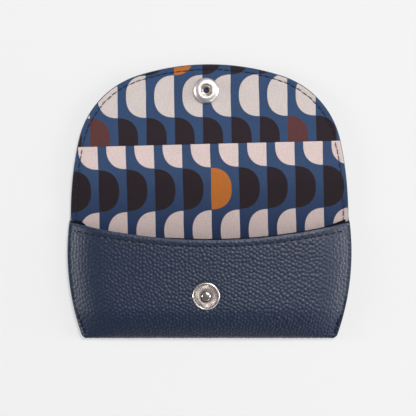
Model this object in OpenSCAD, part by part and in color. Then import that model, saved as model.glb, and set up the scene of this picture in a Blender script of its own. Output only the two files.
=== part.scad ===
// Snap-flap card holder: a domed leather pouch whose back runs on, over a
// soft spine, into a round flap.  It lies on its back with the flap open.
// X is the width, Y runs from the bottom fold to the tip of the flap, Z is up.
// Lengths are millimetres.  Heights along the holder ("y") are counted from
// the bottom fold; in_frame() then centres the open holder on the origin.

/* [Outline] */
// Widest point of the pouch
pouch_w = 120; // [110:1:130]
// Height of that widest point above the bottom fold
widest_y = 36.5; // [30:0.5:40]
// Radius of the pouch's side curve
low_r = 105; // [90:1:120]
// Width of the back where the flap's curve begins
shoulder_w = 117.4; // [115:0.2:118]
// Height at which the flap's curve begins
shoulder_y = 51.1; // [50:0.1:53]
// Radius of the flap's nearly straight flanks
side_r = 155.6; // [140:0.2:170]
// Radius of the flap's rounded corners
corner_r = 37; // [34:0.5:40]
// Direction of the edge's normal where flank meets corner
flank_angle = 12; // [10:0.5:13]
// Direction of the edge's normal where corner meets the top curve
crown_angle = 72; // [70:0.5:74]
// Radius of the two bottom corners
toe_r = 2; // [1.5:0.1:2.5]

/* [Pouch front] */
// Height of the mouth's two upper corners
mouth_side_y = 49; // [48:0.1:49.4]
// How far the mouth's edge dips in the middle
mouth_dip = 7.4; // [5:0.1:9]
// Height of the front leather where the stud sits
seat_z = 9.6; // [9:0.1:11]
// How much higher the front stands at the mouth
mouth_rise = 0.4; // [0:0.1:0.8]
// Width over which the front rolls down to each side seam
roll_w = 6.3; // [5:0.1:8]
// Length over which the front rolls down to the bottom fold
toe_w = 9.8; // [8:0.1:10.4]
// Flat seam margin beside the roll
seam_margin = 1.2; // [1:0.1:1.4]
// Strip of the back that shows beyond the front's seam
edge_reveal = 0.3; // [0.1:0.1:0.5]

/* [Layers] */
// Leather thickness
leather_t = 1.3; // [1:0.1:1.5]
// Reinforcement between leather and lining
board_t = 0.4; // [0.3:0.05:0.5]
// Printed lining
lining_t = 0.3; // [0.2:0.05:0.4]
// Slip pocket, doubled fabric
pocket_t = 0.4; // [0.3:0.05:0.5]
// Inset of the layers from the leather's painted edge
layer_inset = 0.5; // [0.3:0.1:1]
// Inset of the layers inside the pouch, clear of the seams
inner_inset = 4.6; // [4.4:0.1:5]
// Height of the layers' lower edge inside the pouch, clear of the bottom fold
inner_foot_y = 7; // [7:0.1:9]

/* [Slip pocket] */
// Height of the slip pocket's straight top edge
pocket_top_y = 82.3; // [78:0.1:84]
// Height of its lower edge, inside the pouch
pocket_foot_y = 8; // [7:0.5:20]
// Tilt of its top edge
pocket_tilt = 1.2; // [0:0.1:2]

/* [Snap] */
// Sideways place of both snap halves
snap_x = -1.4; // [-3:0.1:3]
// Height of the stud on the front
stud_y = 18.2; // [17.8:0.1:20]
// Height of the socket on the open flap
socket_y = 104.7; // [103:0.1:106]
// Stud flange diameter
stud_d = 11.5; // [10:0.1:12]
// Stud rim height above the leather
stud_rim_h = 0.9; // [0.7:0.05:1]
// Diameter of the stud's round head
head_d = 3.66; // [3.4:0.02:3.7]
// Height of the stud's head above the leather
head_h = 2.7; // [2.6:0.05:2.75]
// Socket diameter
socket_d = 11; // [10:0.1:12]
// Socket height above the lining
socket_h = 2.2; // [2.1:0.05:2.4]
// Gap between socket and stud rim when closed
snap_gap = 0.25; // [0.2:0.05:0.4]
// Outside cap diameter
cap_d = 12.4; // [11:0.1:13]
// Outside cap height
cap_h = 0.8; // [0.7:0.05:1]

/* [Stitching] */
// Distance between stitches
stitch_pitch = 2.9; // [2.5:0.1:3.5]
// Length of one stitch
stitch_l = 2.2; // [1.8:0.1:2.4]
// Thread width
thread_w = 0.45; // [0.3:0.05:0.6]
// How far the thread stands above the surface
thread_h = 0.15; // [0.1:0.05:0.25]
// Distance of the stitch line from the edge
stitch_inset = 2.2; // [2:0.1:2.6]

/* [Hidden] */

navy = [0.20, 0.23, 0.30];
edge_navy = [0.13, 0.15, 0.22];
print_blue = [0.19, 0.28, 0.44];
print_pink = [0.80, 0.74, 0.72];
board_grey = [0.75, 0.73, 0.68];
thread_dark = [0.10, 0.11, 0.15];
nickel = [0.78, 0.77, 0.75];
brass = [0.72, 0.58, 0.36];

// centres of the outline's arcs, each tangent to the next
low_c = [pouch_w / 2 - low_r, widest_y];
side_c = [shoulder_w / 2 - side_r, shoulder_y];
corner_c = side_c + (side_r - corner_r) * [cos(flank_angle), sin(flank_angle)];
top_r = corner_r + corner_c[0] / cos(crown_angle);
top_c = corner_c - (top_r - corner_r) * [cos(crown_angle), sin(crown_angle)];
toe_c = [low_c[0] + sqrt(pow(low_r - toe_r, 2) - pow(widest_y - toe_r, 2)), toe_r];
toe_angle = atan2(toe_c[1] - low_c[1], toe_c[0] - low_c[0]);
open_length = top_c[1] + top_r;

// heights of the layers, the pouch's own back lying on z = 0
board_z = leather_t;
lining_z = board_z + board_t;
pocket_z = lining_z + lining_t;
stack_z = pocket_z + pocket_t;

// The two living hinges.  Each axis lies on the inner face of the layers, so
// that they open outwards as they fold.  The spine between them is as wide as
// the closed snap is high, and the open flap lies raised by its own cap.
flap_z = cap_h;
spine_w = seat_z + stud_rim_h + snap_gap + socket_h + pocket_z - 2 * stack_z;
fold_y = (stud_y + socket_y + flap_z - spine_w) / 2;
flap_y = fold_y + spine_w;
spine_tilt = atan(flap_z / spine_w);

// circle smoothness
fine = 64;
// how far cutting solids reach past what they cut
past = 1;
// gap between the front's shells, whose nets of facets differ a little
shell_gap = 0.1;
// radii of the rivet tubes and of the holes they pass through
cap_tube_r = 1.5;
cap_hole_r = 1.55;
eyelet_tube_r = 0.9;
eyelet_hole_r = 0.95;

module in_frame() translate([0, -open_length / 2, 0]) children();

// ---- outline ----------------------------------------------------------
function arc_points(c, r, a0, a1, n) =
    [for (i = [0:n]) let (a = a0 + (a1 - a0) * i / n) c + r * [cos(a), sin(a)]];

// the right half of the outline, inset by d, from the bottom up to the tip
function toe_part(d) = d < toe_r
    ? arc_points(toe_c, toe_r - d, -90, toe_angle, 6)
    : [[low_c[0] + sqrt(pow(low_r - d, 2) - pow(widest_y - d, 2)), d]];
function low_start(d) = d < toe_r ? toe_angle : asin((d - widest_y) / (low_r - d));
function right_half(d) = concat(
    toe_part(d),
    arc_points(low_c, low_r - d, low_start(d) + 1, asin((mouth_side_y - widest_y) / low_r), 14),
    arc_points(side_c, side_r - d, 0, flank_angle, 8),
    arc_points(corner_c, corner_r - d, flank_angle + 3, crown_angle, 20),
    arc_points(top_c, top_r - d, crown_angle + 3, 90, 6));
function outline(d) = let (half = right_half(d), n = len(half))
    concat(half, [for (i = [n - 1:-1:0]) if (half[i][0] > 0.01) [-half[i][0], half[i][1]]]);

// half width of the pouch at a height y, round bottom corner included
function half_width(y) = y < toe_c[1] + toe_r * sin(toe_angle)
    ? toe_c[0] + sqrt(max(0, pow(toe_r, 2) - pow(toe_r - y, 2)))
    : low_c[0] + sqrt(pow(low_r, 2) - pow(y - widest_y, 2));

// one flat layer: the outline inset by d, between two heights
module layer(d, y0, y1, z0, z1) {
    intersection() {
        translate([0, 0, z0]) linear_extrude(z1 - z0) polygon(outline(d));
        translate([-pouch_w, y0, z0 - past]) cube([2 * pouch_w, y1 - y0, z1 - z0 + 2 * past]);
    }
}

// a layer of the pouch's back: narrower inside the pouch, full width above it
module back_layer(y0, z0, z1) {
    layer(inner_inset, y0, mouth_side_y + 0.2, z0, z1);
    layer(layer_inset, mouth_side_y + 0.2, fold_y, z0, z1);
}

// a layer of the spine, which climbs from the pouch's back to the raised flap
module spine_layer(d, z0, z1) {
    intersection() {
        translate([0, 0, -past]) linear_extrude(10) polygon(outline(d));
        rotate([90, 0, 90]) linear_extrude(2 * pouch_w, center = true)
            polygon([[fold_y, z0], [flap_y, z0 + flap_z], [flap_y, z1 + flap_z], [fold_y, z1]]);
    }
}

// a layer of the flap with the hole for the cap's tube
module flap_layer(d, z0, z1) {
    difference() {
        layer(d, flap_y, open_length + past, z0 + flap_z, z1 + flap_z);
        translate([snap_x, socket_y, 0]) cylinder(r = cap_hole_r, h = 10, $fn = fine);
    }
}

// ---- domed front ------------------------------------------------------
// smooth rise from 0 to 1
function roll(u) = u <= 0 ? 0 : u >= 1 ? 1 : sin(90 * u);
function ease(u) = u <= 0 ? 0 : u >= 1 ? 1 : u * u * (3 - 2 * u);
// height of the mouth's edge at a fraction u of the half width
function mouth_y(u) = mouth_side_y - mouth_dip * (1 - u * u);
// height of the dome's surface lying d below its outer face, s from the side
function dome_z(s, y, d) = leather_t * 2 - d
    + (seat_z - 2 * leather_t + mouth_rise * ease((y - stud_y - 7) / 20))
    * roll((s - seam_margin - d) / roll_w) * roll((y - d) / toe_w);

// the columns and rows of the dome's net; start is the inset of its edge
roll_steps = 9;
crown_steps = 7;
toe_steps = 7;
rise_steps = 7;
function col_inset(i, start) = let (s0 = start + seam_margin, s1 = roll_w + seam_margin + 2)
    i == 0 ? start
    : i <= roll_steps ? s0 + (s1 - s0) * (i - 1) / (roll_steps - 1)
    : s1 + (pouch_w / 2 - s1) * (i - roll_steps) / crown_steps;
function columns(start) = let (n = roll_steps + crown_steps)
    concat([for (i = [0:n]) 1 - 2 * col_inset(i, start) / pouch_w],
           [for (i = [n - 1:-1:0]) 2 * col_inset(i, start) / pouch_w - 1]);
function rows(start) = let (y1 = toe_w + 2)
    concat([for (i = [0:toe_steps]) start + (y1 - start) * pow(i / toe_steps, 1.4)],
           [for (i = [1:rise_steps]) y1 + (mouth_side_y - y1) * i / rise_steps]);
function dome_point(u, v, d) = let (
        w = half_width(v) - edge_reveal, y = mouth_y(u) * v / mouth_side_y)
    [u * w, y, max(leather_t, dome_z((1 - abs(u)) * w, y, d))];

// a shell between the dome's surfaces at depths d0 and d1
module dome_shell(d0, d1, start) {
    us = columns(start);
    vs = rows(start);
    nu = len(us);
    nv = len(vs);
    thin = 0.05;
    lower = [for (v = vs) for (u = us) dome_point(u, v, d1)];
    upper = [for (v = vs) for (u = us) let (p = dome_point(u, v, d0), q = dome_point(u, v, d1))
        [p[0], p[1], max(p[2], q[2] + thin)]];
    m = nu * nv;
    top_faces = [for (j = [0:nv - 2]) for (i = [0:nu - 2]) let (a = m + j * nu + i)
        each [[a, a + nu, a + nu + 1], [a, a + nu + 1, a + 1]]];
    under_faces = [for (j = [0:nv - 2]) for (i = [0:nu - 2]) let (a = j * nu + i)
        each [[a, a + nu + 1, a + nu], [a, a + 1, a + nu + 1]]];
    bottom_rim = [for (i = [0:nu - 2]) each [[i, m + i, m + i + 1], [i, m + i + 1, i + 1]]];
    mouth_rim = [for (i = [0:nu - 2]) let (a = (nv - 1) * nu + i)
        each [[a, a + 1, m + a + 1], [a, m + a + 1, m + a]]];
    first_rim = [for (j = [0:nv - 2]) let (a = j * nu)
        each [[a, a + nu, m + a + nu], [a, m + a + nu, m + a]]];
    last_rim = [for (j = [0:nv - 2]) let (a = j * nu + nu - 1)
        each [[a, m + a, m + a + nu], [a, m + a + nu, a + nu]]];
    polyhedron(points = concat(lower, upper),
               faces = concat(top_faces, under_faces, bottom_rim, mouth_rim, first_rim, last_rim));
}

// a dome shell with the hole for the stud's eyelet
module pierced_dome(d0, d1, start) {
    difference() {
        dome_shell(d0, d1, start);
        translate([snap_x, stud_y, 0]) cylinder(r = eyelet_hole_r, h = 20, $fn = 24);
    }
}

// ---- stitching --------------------------------------------------------
// length of each arc of the flap's edge at the stitch line
flank_l = (side_r - stitch_inset) * flank_angle * PI / 180;
corner_l = (corner_r - stitch_inset) * (crown_angle - flank_angle) * PI / 180;
crown_l = (top_r - stitch_inset) * (90 - crown_angle) * PI / 180;
edge_l = flank_l + corner_l + crown_l;
function on_arc(c, r, a) = [c[0] + r * cos(a), c[1] + r * sin(a), a];
// place and normal direction at a length s up the right-hand stitch line
function edge_at(s) = s < 0 ? [side_c[0] + side_r - stitch_inset, shoulder_y + s, 0]
    : s < flank_l ? on_arc(side_c, side_r - stitch_inset, s / (side_r - stitch_inset) * 180 / PI)
    : s < flank_l + corner_l ? on_arc(corner_c, corner_r - stitch_inset,
        flank_angle + (s - flank_l) / (corner_r - stitch_inset) * 180 / PI)
    : on_arc(top_c, top_r - stitch_inset,
        crown_angle + (s - flank_l - corner_l) / (top_r - stitch_inset) * 180 / PI);

module stitch() {
    translate([-thread_w / 2, -stitch_l / 2, 0]) cube([thread_w, stitch_l, thread_h]);
}

// the edge stitches whose middle lies between two heights, on a surface that
// starts at height z0 and climbs at an angle
module edge_stitches(y0, y1, z0, climb = 0) {
    clear = stitch_l / 2 + 0.4;
    for (i = [0:floor((edge_l + 2) / stitch_pitch) - 1]) {
        p = edge_at(edge_l - (i + 0.5) * stitch_pitch);
        reach = stitch_l / 2 * abs(cos(p[2]));
        if (p[1] - reach > y0 + 0.4 && p[1] + reach < y1 - 0.4)
            for (side = [-1, 1])
                translate([side * p[0], p[1], z0 + (p[1] - y0) * tan(climb)])
                    rotate([climb, 0, side * p[2]]) stitch();
    }
}

// stitches down one side seam, in the crease beside the roll
module seam_stitches(side) {
    for (y = [6:stitch_pitch:mouth_side_y - 3]) {
        w = half_width(y) - edge_reveal;
        lean = asin((y - widest_y) / low_r);
        translate([side * (w - seam_margin / 2), y, 2 * leather_t])
            rotate([0, 0, side * lean]) stitch();
    }
}

// stitches along the mouth, a short way below its edge
module mouth_stitches() {
    below = 2.3;
    half_span = pouch_w / 2 - roll_w - seam_margin - 1;
    count = floor(half_span / stitch_pitch);
    for (i = [-count:count]) {
        x = i * stitch_pitch;
        u = 2 * x / pouch_w;
        y = mouth_y(u) - below;
        slope = atan(4 * mouth_dip * u / pouch_w);
        translate([x, y, dome_z(pouch_w / 2 - abs(x), y + stitch_l / 2, 0) + 0.01])
            rotate([0, 0, slope - 90]) stitch();
    }
}

// ---- pouch ------------------------------------------------------------
module back_leather() {
    color(navy) in_frame() layer(0, -past, fold_y, 0, leather_t);
}

module back_stiffener() {
    color(board_grey) in_frame() back_layer(inner_foot_y, board_z, lining_z);
}

module back_lining() {
    color(print_blue) in_frame() back_layer(inner_foot_y, lining_z, pocket_z);
}

module slip_pocket_lower() {
    color(print_pink) in_frame() back_layer(pocket_foot_y, pocket_z, stack_z);
}

module front_leather() {
    color(navy) in_frame() pierced_dome(0, leather_t, 0);
}

module front_interlining() {
    color(board_grey) in_frame()
        pierced_dome(leather_t + shell_gap, leather_t + board_t, 4);
}

module front_lining() {
    color(edge_navy) in_frame()
        pierced_dome(leather_t + board_t + shell_gap, leather_t + board_t + lining_t, 4.4);
}

module left_seam_thread() {
    color(thread_dark) in_frame() seam_stitches(-1);
}

module right_seam_thread() {
    color(thread_dark) in_frame() seam_stitches(1);
}

module mouth_thread() {
    color(thread_dark) in_frame() mouth_stitches();
}

module back_edge_thread() {
    color(thread_dark) in_frame() edge_stitches(mouth_side_y, fold_y, stack_z);
}

// the stud: a flanged dish with a raised rim and a round-headed hollow post
module snap_stud() {
    rim_in = stud_d / 2 - 0.85;
    dish_h = 0.35;
    neck_r = 1.4;
    head_r = head_d / 2;
    color(nickel) in_frame() translate([snap_x, stud_y, seat_z]) rotate_extrude($fn = fine)
        polygon([
            [eyelet_hole_r, 0], [stud_d / 2 - 0.2, 0], [stud_d / 2, 0.25],
            [stud_d / 2 - 0.05, stud_rim_h - 0.25], [stud_d / 2 - 0.3, stud_rim_h],
            [rim_in + 0.2, stud_rim_h], [rim_in, stud_rim_h - 0.2], [rim_in - 0.15, dish_h + 0.1],
            [rim_in - 0.6, dish_h], [neck_r + 0.5, dish_h], [neck_r, dish_h + 0.3],
            [neck_r, head_h - 0.7], [head_r, head_h - 0.5], [head_r - 0.1, head_h - 0.3],
            [head_r * 0.7, head_h - 0.08], [head_r * 0.35, head_h], [0, head_h],
            [0, head_h - 0.6], [eyelet_hole_r, head_h - 0.6]]);
}

// the eyelet behind the front, its tube riveted up into the stud's post
module stud_eyelet() {
    flange_h = 0.35;
    inside = leather_t + board_t + lining_t;
    color(brass) in_frame() translate([snap_x, stud_y, seat_z - inside]) {
        translate([0, 0, -flange_h]) difference() {
            cylinder(d = 7, h = flange_h, $fn = fine);
            translate([0, 0, -past]) cylinder(r = 0.6, h = 4, $fn = fine);
        }
        difference() {
            cylinder(r = eyelet_tube_r, h = inside + 1.6, $fn = fine);
            translate([0, 0, -past]) cylinder(r = 0.6, h = inside + 4, $fn = fine);
        }
    }
}

// ---- spine ------------------------------------------------------------
module fold_leather() {
    color(navy) in_frame() spine_layer(0, 0, leather_t);
}

module fold_interlining() {
    color(board_grey) in_frame() spine_layer(layer_inset, board_z, lining_z);
}

module fold_lining() {
    color(print_blue) in_frame() spine_layer(layer_inset, lining_z, pocket_z);
}

module slip_pocket_fold() {
    color(print_pink) in_frame() spine_layer(layer_inset, pocket_z, stack_z);
}

module fold_edge_thread() {
    color(thread_dark) in_frame() edge_stitches(fold_y, flap_y, stack_z, spine_tilt);
}

// ---- flap -------------------------------------------------------------
module flap_leather() {
    color(navy) in_frame() flap_layer(0, 0, leather_t);
}

module flap_stiffener() {
    color(board_grey) in_frame() flap_layer(layer_inset, board_z, lining_z);
}

module flap_lining() {
    color(print_blue) in_frame() flap_layer(layer_inset, lining_z, pocket_z);
}

// the part of the slip pocket that reaches onto the flap, its top edge tilted
module slip_pocket_upper() {
    color(print_pink) in_frame() difference() {
        layer(layer_inset, flap_y, pocket_top_y + 4, pocket_z + flap_z, stack_z + flap_z);
        translate([0, pocket_top_y, 0]) rotate([0, 0, pocket_tilt])
            translate([-pouch_w, 0, 0]) cube([2 * pouch_w, 20, 10]);
    }
}

module flap_edge_thread() {
    pocket_side = pouch_w / 2 * tan(pocket_tilt) + 0.4;
    color(thread_dark) in_frame() {
        edge_stitches(flap_y, pocket_top_y - pocket_side, stack_z + flap_z);
        edge_stitches(pocket_top_y + pocket_side, open_length, pocket_z + flap_z);
    }
}

// the outside cap: a low dome, with a tube through the flap that is flared
// over inside the socket
module snap_cap() {
    cap_r = cap_d / 2;
    plate_top = pocket_z + flap_z + 0.35;
    color(nickel) in_frame() translate([snap_x, socket_y, 0]) rotate_extrude($fn = fine)
        polygon([
            [0, 0], [cap_r * 0.5, 0.03], [cap_r * 0.8, 0.16], [cap_r * 0.95, 0.4],
            [cap_r, cap_h - 0.15], [cap_r, cap_h], [cap_tube_r, cap_h],
            [cap_tube_r, plate_top], [1.8, plate_top], [1.8, plate_top + 0.15],
            [1.65, plate_top + 0.25], [1.4, plate_top + 0.25], [1.2, plate_top + 0.1],
            [1.2, cap_h - 0.2], [0, cap_h - 0.2]]);
}

// the socket: a domed ring with a funnel mouth and a groove for its spring
module snap_socket() {
    socket_r = socket_d / 2;
    color(nickel) in_frame() translate([snap_x, socket_y, pocket_z + flap_z])
        rotate_extrude($fn = fine) polygon([
            [cap_hole_r, 0], [socket_r - 0.15, 0], [socket_r, 0.2], [socket_r, 0.7],
            [socket_r - 0.25, 1.25], [socket_r - 0.9, socket_h - 0.35],
            [socket_r - 1.7, socket_h - 0.05], [socket_r - 2.2, socket_h],
            [2.7, socket_h], [2.45, socket_h - 0.05], [2.0, socket_h - 0.25],
            [2.0, socket_h - 0.35], [2.35, socket_h - 0.35], [2.35, socket_h - 0.85],
            [2.0, socket_h - 0.85], [2.0, 0.35], [cap_hole_r, 0.35]]);
}

// the split ring that grips the stud's neck
module snap_spring() {
    wire_r = 0.24;
    ring_r = 1.9;
    color(brass) in_frame()
        translate([snap_x, socket_y, pocket_z + flap_z + socket_h - 0.6])
            rotate([0, 0, 15]) rotate_extrude(angle = 330, $fn = fine)
                translate([ring_r, 0]) circle(r = wire_r, $fn = 24);
}

back_leather();
back_stiffener();
back_lining();
slip_pocket_lower();
front_leather();
front_interlining();
front_lining();
left_seam_thread();
right_seam_thread();
mouth_thread();
back_edge_thread();
snap_stud();
stud_eyelet();
fold_leather();
fold_interlining();
fold_lining();
slip_pocket_fold();
fold_edge_thread();
flap_leather();
flap_stiffener();
flap_lining();
slip_pocket_upper();
flap_edge_thread();
snap_cap();
snap_socket();
snap_spring();
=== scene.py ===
"""Looks of the snap-flap card holder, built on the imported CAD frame.

Lengths are millimetres and heights along the holder ("y") are counted from the
bottom fold, as in the CAD source; to_frame() turns them into the row frame.
"""

import math

import bpy
import numpy as np
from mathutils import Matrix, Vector


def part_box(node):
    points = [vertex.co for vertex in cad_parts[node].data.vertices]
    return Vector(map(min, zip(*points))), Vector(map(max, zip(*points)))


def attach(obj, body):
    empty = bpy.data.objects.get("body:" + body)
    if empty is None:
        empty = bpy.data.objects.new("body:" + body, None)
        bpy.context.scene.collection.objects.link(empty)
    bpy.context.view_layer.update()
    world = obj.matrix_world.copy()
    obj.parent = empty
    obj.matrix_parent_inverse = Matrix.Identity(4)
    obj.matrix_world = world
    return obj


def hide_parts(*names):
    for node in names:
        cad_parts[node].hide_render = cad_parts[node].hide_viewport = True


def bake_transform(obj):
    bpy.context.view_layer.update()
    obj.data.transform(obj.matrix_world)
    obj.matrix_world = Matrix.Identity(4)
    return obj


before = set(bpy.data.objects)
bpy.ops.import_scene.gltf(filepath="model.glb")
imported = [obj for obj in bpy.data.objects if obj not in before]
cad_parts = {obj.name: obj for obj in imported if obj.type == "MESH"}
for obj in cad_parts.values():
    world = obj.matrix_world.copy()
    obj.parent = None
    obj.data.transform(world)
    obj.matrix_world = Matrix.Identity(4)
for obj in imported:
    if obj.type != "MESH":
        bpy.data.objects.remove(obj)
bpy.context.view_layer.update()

# ---- sizes, nearly all as in the CAD source --------------------------------
MM = 0.001
POUCH_W, WIDEST_Y, LOW_R = 120.0, 36.5, 105.0
SHOULDER_W, SHOULDER_Y, SIDE_R = 117.4, 51.1, 155.6
CORNER_R, TOE_R = 37.0, 2.0
FLANK_ANGLE, CROWN_ANGLE = math.radians(12), math.radians(72)
MOUTH_SIDE_Y, MOUTH_DIP = 49.0, 7.4
SEAT_Z, TOE_W = 9.6, 16.0
EDGE_REVEAL = 0.3
LEATHER_T, BOARD_T, LINING_T, POCKET_T = 1.3, 0.4, 0.3, 0.4
LAYER_INSET, INNER_INSET, INNER_FOOT_Y, POCKET_FOOT_Y = 0.24, 4.6, 7.0, 8.0
POCKET_TOP_Y, POCKET_TILT = 82.15, math.radians(1.4)
SNAP_X, STUD_Y, SOCKET_Y = -1.4, 18.2, 104.7
STITCH_PITCH, STITCH_L, STITCH_INSET = 2.9, 2.2, 2.2
FLAP_Z = 0.8

BOARD_Z = LEATHER_T
LINING_Z = BOARD_Z + BOARD_T
POCKET_Z = LINING_Z + LINING_T
STACK_Z = POCKET_Z + POCKET_T
FOLD_Y, FLAP_Y = 56.775, 66.925
MID_SPINE_Y = (FOLD_Y + FLAP_Y) / 2

LOW_C = np.array([POUCH_W / 2 - LOW_R, WIDEST_Y])
SIDE_C = np.array([SHOULDER_W / 2 - SIDE_R, SHOULDER_Y])


def direction(angle):
    return np.array([math.cos(angle), math.sin(angle)])


CORNER_C = SIDE_C + (SIDE_R - CORNER_R) * direction(FLANK_ANGLE)
TOP_R = CORNER_R + CORNER_C[0] / math.cos(CROWN_ANGLE)
TOP_C = CORNER_C - (TOP_R - CORNER_R) * direction(CROWN_ANGLE)
TOE_C = np.array([LOW_C[0] + math.sqrt((LOW_R - TOE_R) ** 2 - (WIDEST_Y - TOE_R) ** 2), TOE_R])
TOE_ANGLE = math.atan2(TOE_C[1] - LOW_C[1], TOE_C[0] - LOW_C[0])
LOW_END = math.asin((MOUTH_SIDE_Y - WIDEST_Y) / LOW_R)
UPPER_ARCS = [(SIDE_C, SIDE_R, 0, FLANK_ANGLE), (CORNER_C, CORNER_R, FLANK_ANGLE, CROWN_ANGLE),
              (TOP_C, TOP_R, CROWN_ANGLE, math.pi / 2)]

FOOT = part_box("back_leather")[0].y  # the bottom fold in the row frame, metres


def to_frame(points):
    """Points in millimetres, heights from the bottom fold, as row-frame metres."""
    moved = np.array(points, float) * MM
    moved[..., 1] += FOOT
    return moved


# ---- small maths -----------------------------------------------------------
def smoothstep(t):
    t = np.clip(t, 0, 1)
    return t * t * (3 - 2 * t)


def bell(t):
    return np.exp(-t * t)


def lift(y):
    """How far the flat layers are raised at a height y: the open flap lies on its cap."""
    return FLAP_Z * smoothstep((y - FOLD_Y + 3) / (FLAP_Y - FOLD_Y + 6))


def lengths_along(points):
    """Length of a polyline up to each of its points."""
    steps = np.linalg.norm(np.diff(points, axis=0), axis=1)
    return np.concatenate([[0], np.cumsum(steps)])


def resample(points, count):
    """A polyline's points again, evenly spaced along it."""
    along = lengths_along(points)
    wanted = np.linspace(0, along[-1], count)
    return np.stack([np.interp(wanted, along, points[:, k]) for k in range(points.shape[1])], 1)


def spread(values, profile, count):
    """Values spread so that points on a profile come evenly, and the profile's length."""
    along = lengths_along(profile)
    return np.interp(np.linspace(0, along[-1], count), along, values), along[-1]


def unit(v):
    v = np.asarray(v, float)
    return v / np.linalg.norm(v)


# ---- outline ---------------------------------------------------------------
ARC_STEP = 0.25


def arc(centre, radius, a0, a1):
    count = max(4, int(abs(a1 - a0) * radius / ARC_STEP))
    angles = np.linspace(a0, a1, count)
    return np.stack([centre[0] + radius * np.cos(angles), centre[1] + radius * np.sin(angles)], 1)


def right_edge(inset=0.0):
    """The outline's right half, inset, from the bottom fold to the flap's tip."""
    parts = []
    if inset < TOE_R:
        parts.append(arc(TOE_C, TOE_R - inset, -math.pi / 2, TOE_ANGLE))
        start = TOE_ANGLE
    else:
        start = math.asin((inset - WIDEST_Y) / (LOW_R - inset))
    parts.append(arc(LOW_C, LOW_R - inset, start, LOW_END))
    parts += [arc(centre, radius - inset, a0, a1) for centre, radius, a0, a1 in UPPER_ARCS]
    return np.concatenate([parts[0]] + [p[1:] for p in parts[1:]])


def half_width(y, inset=0.0):
    """Half the outline's width at a height."""
    edge = right_edge(inset)
    return np.interp(y, edge[:, 1], edge[:, 0])


def cut_edge(y0, y1, inset=0.0):
    """The part of the right half's outline between two heights."""
    edge = right_edge(inset)
    inside = (edge[:, 1] > y0) & (edge[:, 1] < y1)
    first = [[np.interp(y0, edge[:, 1], edge[:, 0]), y0]]
    last = [[np.interp(y1, edge[:, 1], edge[:, 0]), y1]] if y1 < edge[-1, 1] else []
    return np.concatenate([first, edge[inside], last] if last else [first, edge[inside]])


# ---- mesh building ---------------------------------------------------------
PLANE = "Plane"  # every flexible piece's UV map: millimetres across the unrolled sheet


def add_piece(name, verts, faces, materials, face_material=None, plane=None, attributes=(),
              sharp=50):
    """A mesh object from points in millimetres. Its normals point outwards."""
    verts = np.asarray(verts, float)
    mesh = bpy.data.meshes.new(name)
    mesh.from_pydata(to_frame(verts).tolist(), [], [list(map(int, f)) for f in faces])
    mesh.update()
    for material in materials:
        mesh.materials.append(material)
    if face_material is not None:
        mesh.polygons.foreach_set("material_index", np.asarray(face_material, np.int32))
    corners = np.zeros(len(mesh.loops), np.int32)
    mesh.loops.foreach_get("vertex_index", corners)
    if plane is None:
        plane = verts[:, :2]
    layer = mesh.uv_layers.new(name=PLANE)
    layer.data.foreach_set("uv", np.asarray(plane, np.float32)[corners].ravel())
    for label, values in attributes:
        attribute = mesh.attributes.new(label, "FLOAT", "POINT")
        attribute.data.foreach_set("value", np.asarray(values, np.float32))
    if signed_volume(mesh) < 0:
        mesh.flip_normals()
    mesh.shade_smooth()
    mesh.set_sharp_from_angle(angle=math.radians(sharp))
    piece = bpy.data.objects.new(name, mesh)
    bpy.context.scene.collection.objects.link(piece)
    return piece


def signed_volume(mesh):
    """Six times the volume inside a closed mesh; negative if its normals point inwards."""
    mesh.calc_loop_triangles()
    count = len(mesh.loop_triangles)
    tris = np.zeros(count * 3, np.int32)
    mesh.loop_triangles.foreach_get("vertices", tris)
    co = np.zeros(len(mesh.vertices) * 3, np.float32)
    mesh.vertices.foreach_get("co", co)
    a, b, c = co.reshape(-1, 3).astype(float)[tris.reshape(-1, 3)].transpose(1, 0, 2)
    return float(np.einsum("ij,ij->i", a, np.cross(b, c)).sum())


def net_faces(rows, cols, start=0, flip=False):
    """Quads over a net of points, counted row by row from start."""
    r, c = np.meshgrid(np.arange(rows - 1), np.arange(cols - 1), indexing="ij")
    a = (start + r * cols + c).ravel()
    quads = np.stack([a, a + 1, a + cols + 1, a + cols], 1)
    return quads[:, ::-1] if flip else quads


def rim_faces(fine, coarse):
    """Faces along one side of a sheet, between its fine and its coarse net's edge."""
    step = (len(fine) - 1) // (len(coarse) - 1)
    return [[*fine[k * step:(k + 1) * step + 1][::-1], coarse[k], coarse[k + 1]]
            for k in range(len(coarse) - 1)]


def slab_faces(shape, row_step, col_step):
    """Faces of a closed sheet: a fine outer net, a coarser inner net, and the rim
    between them. Returns outer, inner and rim faces."""
    rows, cols = shape
    inner_rows, inner_cols = (rows - 1) // row_step + 1, (cols - 1) // col_step + 1
    base = rows * cols
    fine = np.arange(base).reshape(rows, cols)
    coarse = base + np.arange(inner_rows * inner_cols).reshape(inner_rows, inner_cols)
    rims = rim_faces(fine[0], coarse[0])
    rims += rim_faces(fine[-1][::-1], coarse[-1][::-1])
    rims += rim_faces(fine[::-1, 0], coarse[::-1, 0])
    rims += rim_faces(fine[:, -1], coarse[:, -1])
    return net_faces(rows, cols), net_faces(inner_rows, inner_cols, base, flip=True), rims


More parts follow.
